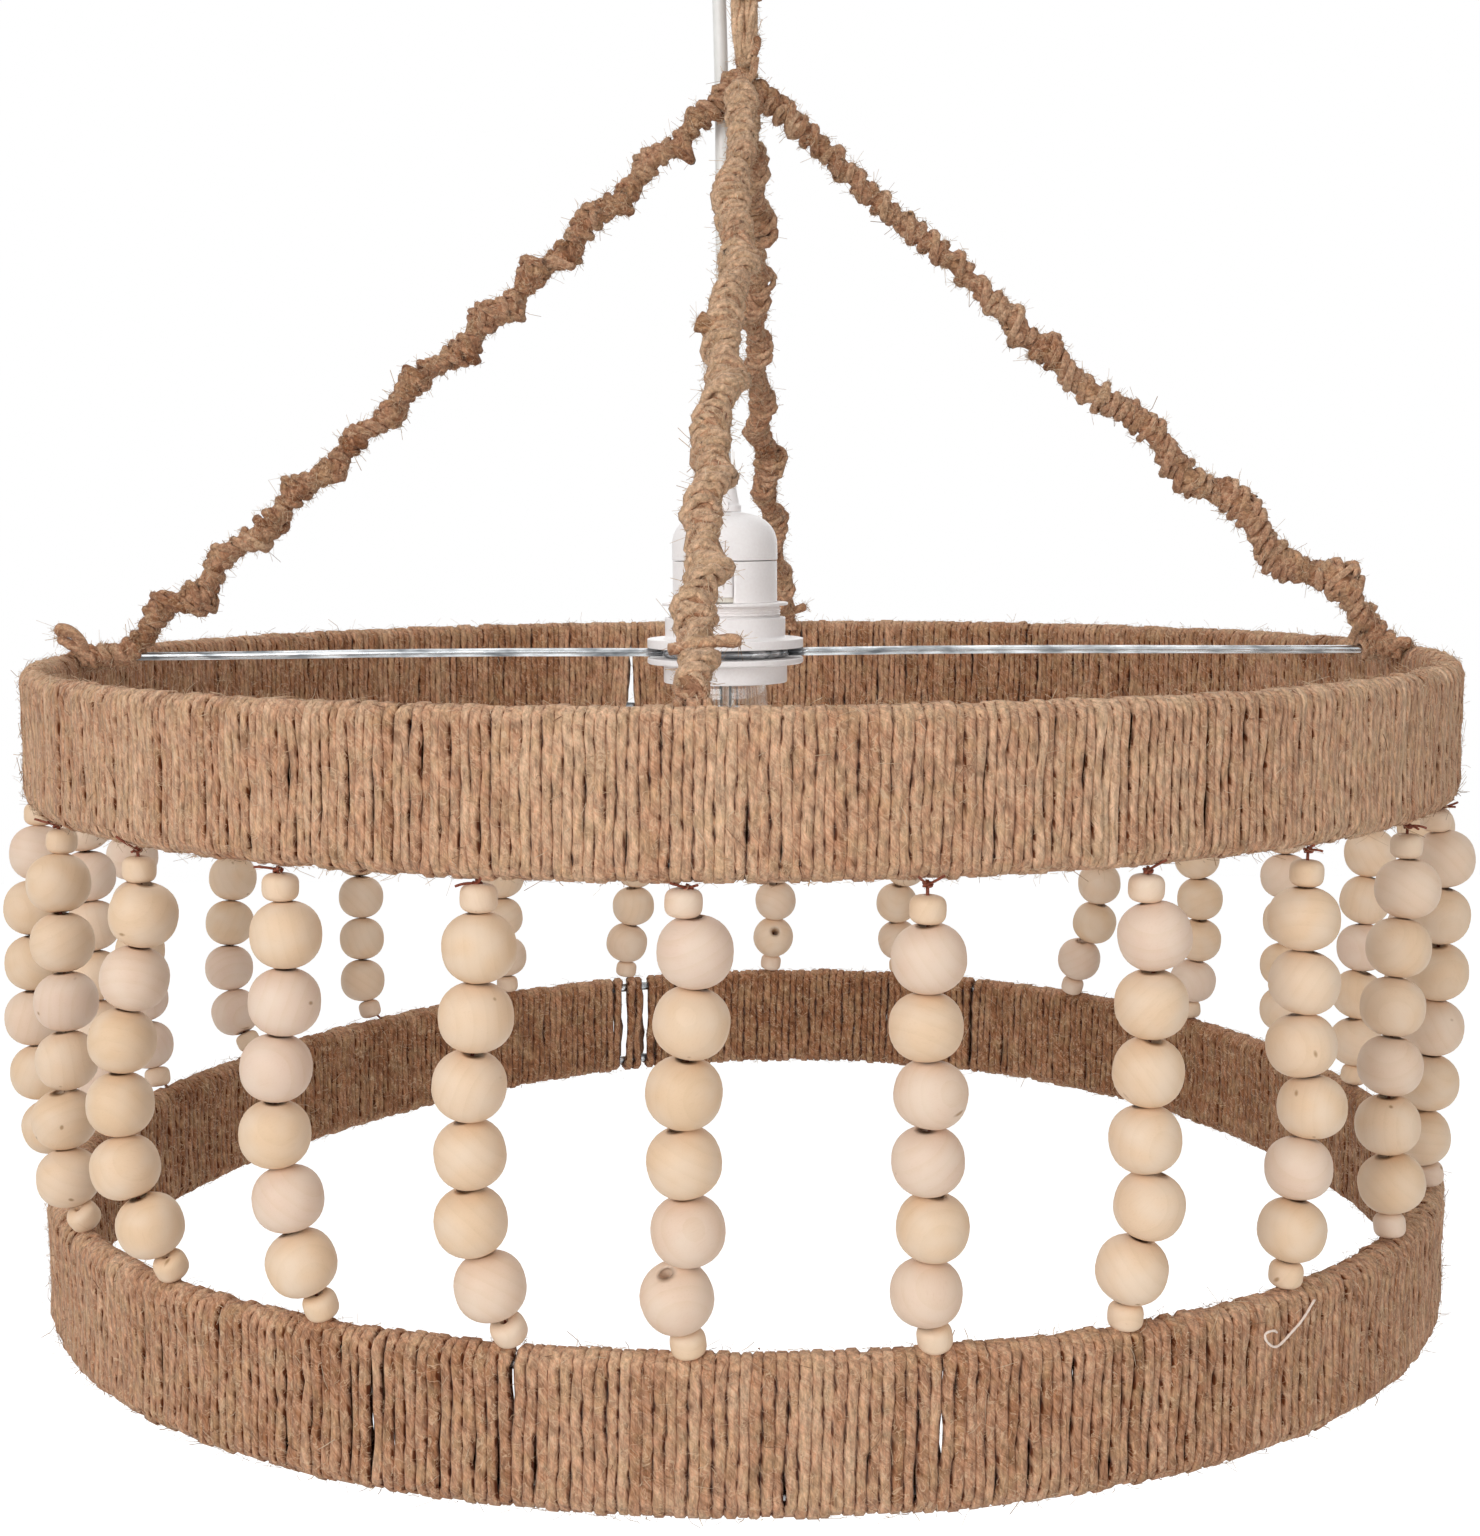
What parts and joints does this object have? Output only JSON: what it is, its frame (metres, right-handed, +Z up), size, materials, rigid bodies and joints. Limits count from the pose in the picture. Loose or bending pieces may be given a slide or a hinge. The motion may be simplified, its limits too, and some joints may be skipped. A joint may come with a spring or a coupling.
{
  "type": "beaded chandelier",
  "caption": "Beaded chandelier: two twine-wound hoop bands joined by strings of wooden beads, hung on jute ropes from a ceiling hook, with a screw lamp holder on a wire bar.",
  "frame": {"origin": "centre of the ceiling bracket's top face, on the axis of the ceiling hook", "axes": "+Z up out of the ceiling face, -Y the front in the picture, +X to its right"},
  "size_m": [0.5057, 0.519, 0.5372],
  "materials": {
    "jute": "natural jute twine and rope, light brown, hairy, matt",
    "pale_wood": "unvarnished pale wooden beads with a little grain",
    "white_plastic": "white moulded plastic, slight sheen",
    "white_metal": "white paint, satin",
    "zinc_wire": "galvanised wire, grey with dull spots",
    "plated_steel": "zinc-plated steel, bright",
    "brass": "bright screw shell",
    "clear_glass": "clear bulb glass",
    "cable_sheath": "white round PVC flex",
    "porcelain": "off-white glazed insulator"
  },
  "bodies": {
    "ceiling_fitting": {"ceiling_canopy": "white_metal", "hook_bracket": "plated_steel", "ceiling_hook": "plated_steel", "hook_nut": "plated_steel", "terminal_block": "white_plastic", "cable_outlet": "white_plastic", "cable_tail": "cable_sheath"},
    "hang_ring": {"hang_ring": "plated_steel"},
    "hanging_frame": {"main_rope": "jute", "apex_binding": "jute", "rope_front": "jute", "rope_right": "jute", "rope_back": "jute", "rope_left": "jute", "power_cable": "cable_sheath", "cable_gland": "white_plastic", "holder_cap": "white_plastic", "holder_body": "white_plastic", "contact_block": "porcelain", "cross_bar": "zinc_wire", "upper_band_winding": "jute", "upper_band_top_hoop": "zinc_wire", "upper_band_foot_hoop": "zinc_wire"},
    "upper_shade_ring": {"shade_ring_upper": "white_plastic"},
    "lower_shade_ring": {"shade_ring_lower": "white_plastic"},
    "bulb": {"bulb_cap": "brass", "bulb_glass": "clear_glass", "bulb_stem": "clear_glass"},
    "strand_01": {"bead_strand_01": "pale_wood"},
    "strand_02": {"bead_strand_02": "pale_wood"},
    "strand_03": {"bead_strand_03": "pale_wood"},
    "strand_04": {"bead_strand_04": "pale_wood"},
    "strand_05": {"bead_strand_05": "pale_wood"},
    "strand_06": {"bead_strand_06": "pale_wood"},
    "strand_07": {"bead_strand_07": "pale_wood"},
    "strand_08": {"bead_strand_08": "pale_wood"},
    "strand_09": {"bead_strand_09": "pale_wood"},
    "strand_10": {"bead_strand_10": "pale_wood"},
    "strand_11": {"bead_strand_11": "pale_wood"},
    "strand_12": {"bead_strand_12": "pale_wood"},
    "strand_13": {"bead_strand_13": "pale_wood"},
    "strand_14": {"bead_strand_14": "pale_wood"},
    "strand_15": {"bead_strand_15": "pale_wood"},
    "strand_16": {"bead_strand_16": "pale_wood"},
    "strand_17": {"bead_strand_17": "pale_wood"},
    "strand_18": {"bead_strand_18": "pale_wood"},
    "strand_19": {"bead_strand_19": "pale_wood"},
    "strand_20": {"bead_strand_20": "pale_wood"},
    "strand_21": {"bead_strand_21": "pale_wood"},
    "strand_22": {"bead_strand_22": "pale_wood"},
    "strand_23": {"bead_strand_23": "pale_wood"},
    "strand_24": {"bead_strand_24": "pale_wood"},
    "lower_band": {"lower_band_winding": "jute", "lower_band_top_hoop": "zinc_wire", "lower_band_foot_hoop": "zinc_wire"}
  },
  "joints": [
    {"name": "front_back_swing", "type": "hinge", "parent": "ceiling_fitting", "child": "hang_ring", "pos_m": [0, 0, -0.04675], "axis": [1, 0, 0], "range_deg": [-10, 10]},
    {"name": "side_swing", "type": "hinge", "parent": "hang_ring", "child": "hanging_frame", "pos_m": [0, 0, -0.0622], "axis": [0, 1, 0], "range_deg": [-10, 10]},
    {"name": "upper_ring_turn", "type": "hinge", "parent": "hanging_frame", "child": "upper_shade_ring", "pos_m": [-0.0083, 0, -0.312], "axis": [0, 0, 1], "range_deg": [-720, 0]},
    {"name": "lower_ring_turn", "type": "hinge", "parent": "hanging_frame", "child": "lower_shade_ring", "pos_m": [-0.0083, 0, -0.326], "axis": [0, 0, 1], "range_deg": [-720, 0]},
    {"name": "bulb_turn", "type": "hinge", "parent": "hanging_frame", "child": "bulb", "pos_m": [-0.0083, 0, -0.315], "axis": [0, 0, 1], "range_deg": [-900, 0]},
    {"name": "curtain_sway", "type": "hinge", "parent": "hanging_frame", "child": "strand_01", "pos_m": [-0.0167, -0.24459, -0.3645], "axis": [0, 1, 0], "range_deg": [-5, 5]},
    {"name": "strand_02_sway", "type": "hinge", "parent": "hanging_frame", "child": "strand_02", "pos_m": [0.04457, -0.24042, -0.3645], "axis": [0, 1, 0], "range_deg": [-5, 5]},
    {"name": "strand_03_sway", "type": "hinge", "parent": "hanging_frame", "child": "strand_03", "pos_m": [0.1048, -0.22021, -0.3645], "axis": [0, 1, 0], "range_deg": [-5, 5]},
    {"name": "strand_04_sway", "type": "hinge", "parent": "hanging_frame", "child": "strand_04", "pos_m": [0.15619, -0.18658, -0.3645], "axis": [0, 1, 0], "range_deg": [-5, 5]},
    {"name": "strand_05_sway", "type": "hinge", "parent": "hanging_frame", "child": "strand_05", "pos_m": [0.19858, -0.13983, -0.3645], "axis": [0, 1, 0], "range_deg": [-5, 5]},
    {"name": "strand_06_sway", "type": "hinge", "parent": "hanging_frame", "child": "strand_06", "pos_m": [0.22122, -0.09965, -0.3645], "axis": [0, 1, 0], "range_deg": [-5, 5]},
    {"name": "strand_07_sway", "type": "hinge", "parent": "hanging_frame", "child": "strand_07", "pos_m": [0.24127, -0.02348, -0.3645], "axis": [0, 1, 0], "range_deg": [-5, 5]},
    {"name": "strand_08_sway", "type": "hinge", "parent": "hanging_frame", "child": "strand_08", "pos_m": [0.23938, 0.03833, -0.3645], "axis": [0, 1, 0], "range_deg": [-5, 5]},
    {"name": "strand_09_sway", "type": "hinge", "parent": "hanging_frame", "child": "strand_09", "pos_m": [0.22208, 0.09769, -0.3645], "axis": [0, 1, 0], "range_deg": [-5, 5]},
    {"name": "strand_10_sway", "type": "hinge", "parent": "hanging_frame", "child": "strand_10", "pos_m": [0.19586, 0.14366, -0.3645], "axis": [0, 1, 0], "range_deg": [-5, 5]},
    {"name": "strand_11_sway", "type": "hinge", "parent": "hanging_frame", "child": "strand_11", "pos_m": [0.15974, 0.18349, -0.3645], "axis": [0, 1, 0], "range_deg": [-5, 5]},
    {"name": "strand_12_sway", "type": "hinge", "parent": "hanging_frame", "child": "strand_12", "pos_m": [0.07514, 0.23234, -0.3645], "axis": [0, 1, 0], "range_deg": [-5, 5]},
    {"name": "strand_13_sway", "type": "hinge", "parent": "hanging_frame", "child": "strand_13", "pos_m": [0.01406, 0.24443, -0.3645], "axis": [0, 1, 0], "range_deg": [-5, 5]},
    {"name": "strand_14_sway", "type": "hinge", "parent": "hanging_frame", "child": "strand_14", "pos_m": [-0.0527, 0.23982, -0.3645], "axis": [0, 1, 0], "range_deg": [-5, 5]},
    {"name": "strand_15_sway", "type": "hinge", "parent": "hanging_frame", "child": "strand_15", "pos_m": [-0.11762, 0.21632, -0.3645], "axis": [0, 1, 0], "range_deg": [-5, 5]},
    {"name": "strand_16_sway", "type": "hinge", "parent": "hanging_frame", "child": "strand_16", "pos_m": [-0.17463, 0.17445, -0.3645], "axis": [0, 1, 0], "range_deg": [-5, 5]},
    {"name": "strand_17_sway", "type": "hinge", "parent": "hanging_frame", "child": "strand_17", "pos_m": [-0.2175, 0.11765, -0.3645], "axis": [0, 1, 0], "range_deg": [-5, 5]},
    {"name": "strand_18_sway", "type": "hinge", "parent": "hanging_frame", "child": "strand_18", "pos_m": [-0.24225, 0.05094, -0.3645], "axis": [0, 1, 0], "range_deg": [-5, 5]},
    {"name": "strand_19_sway", "type": "hinge", "parent": "hanging_frame", "child": "strand_19", "pos_m": [-0.2476, 0, -0.3645], "axis": [0, 1, 0], "range_deg": [-5, 5]},
    {"name": "strand_20_sway", "type": "hinge", "parent": "hanging_frame", "child": "strand_20", "pos_m": [-0.23925, -0.06341, -0.3645], "axis": [0, 1, 0], "range_deg": [-5, 5]},
    {"name": "strand_21_sway", "type": "hinge", "parent": "hanging_frame", "child": "strand_21", "pos_m": [-0.21584, -0.12064, -0.3645], "axis": [0, 1, 0], "range_deg": [-5, 5]},
    {"name": "strand_22_sway", "type": "hinge", "parent": "hanging_frame", "child": "strand_22", "pos_m": [-0.17644, -0.17264, -0.3645], "axis": [0, 1, 0], "range_deg": [-5, 5]},
    {"name": "strand_23_sway", "type": "hinge", "parent": "hanging_frame", "child": "strand_23", "pos_m": [-0.12805, -0.21044, -0.3645], "axis": [0, 1, 0], "range_deg": [-5, 5]},
    {"name": "strand_24_sway", "type": "hinge", "parent": "hanging_frame", "child": "strand_24", "pos_m": [-0.07136, -0.23515, -0.3645], "axis": [0, 1, 0], "range_deg": [-5, 5]},
    {"name": "band_level", "type": "hinge", "parent": "strand_01", "child": "lower_band", "pos_m": [-0.01792, -0.23435, -0.4914], "axis": [0, 1, 0], "range_deg": [-5, 5]}
  ],
  "couplings": [
    {"joint": "strand_02_sway", "follows": "curtain_sway", "ratio": 1},
    {"joint": "strand_03_sway", "follows": "curtain_sway", "ratio": 1},
    {"joint": "strand_04_sway", "follows": "curtain_sway", "ratio": 1},
    {"joint": "strand_05_sway", "follows": "curtain_sway", "ratio": 1},
    {"joint": "strand_06_sway", "follows": "curtain_sway", "ratio": 1},
    {"joint": "strand_07_sway", "follows": "curtain_sway", "ratio": 1},
    {"joint": "strand_08_sway", "follows": "curtain_sway", "ratio": 1},
    {"joint": "strand_09_sway", "follows": "curtain_sway", "ratio": 1},
    {"joint": "strand_10_sway", "follows": "curtain_sway", "ratio": 1},
    {"joint": "strand_11_sway", "follows": "curtain_sway", "ratio": 1},
    {"joint": "strand_12_sway", "follows": "curtain_sway", "ratio": 1},
    {"joint": "strand_13_sway", "follows": "curtain_sway", "ratio": 1},
    {"joint": "strand_14_sway", "follows": "curtain_sway", "ratio": 1},
    {"joint": "strand_15_sway", "follows": "curtain_sway", "ratio": 1},
    {"joint": "strand_16_sway", "follows": "curtain_sway", "ratio": 1},
    {"joint": "strand_17_sway", "follows": "curtain_sway", "ratio": 1},
    {"joint": "strand_18_sway", "follows": "curtain_sway", "ratio": 1},
    {"joint": "strand_19_sway", "follows": "curtain_sway", "ratio": 1},
    {"joint": "strand_20_sway", "follows": "curtain_sway", "ratio": 1},
    {"joint": "strand_21_sway", "follows": "curtain_sway", "ratio": 1},
    {"joint": "strand_22_sway", "follows": "curtain_sway", "ratio": 1},
    {"joint": "strand_23_sway", "follows": "curtain_sway", "ratio": 1},
    {"joint": "strand_24_sway", "follows": "curtain_sway", "ratio": 1},
    {"joint": "band_level", "follows": "curtain_sway", "ratio": -1}
  ]
}
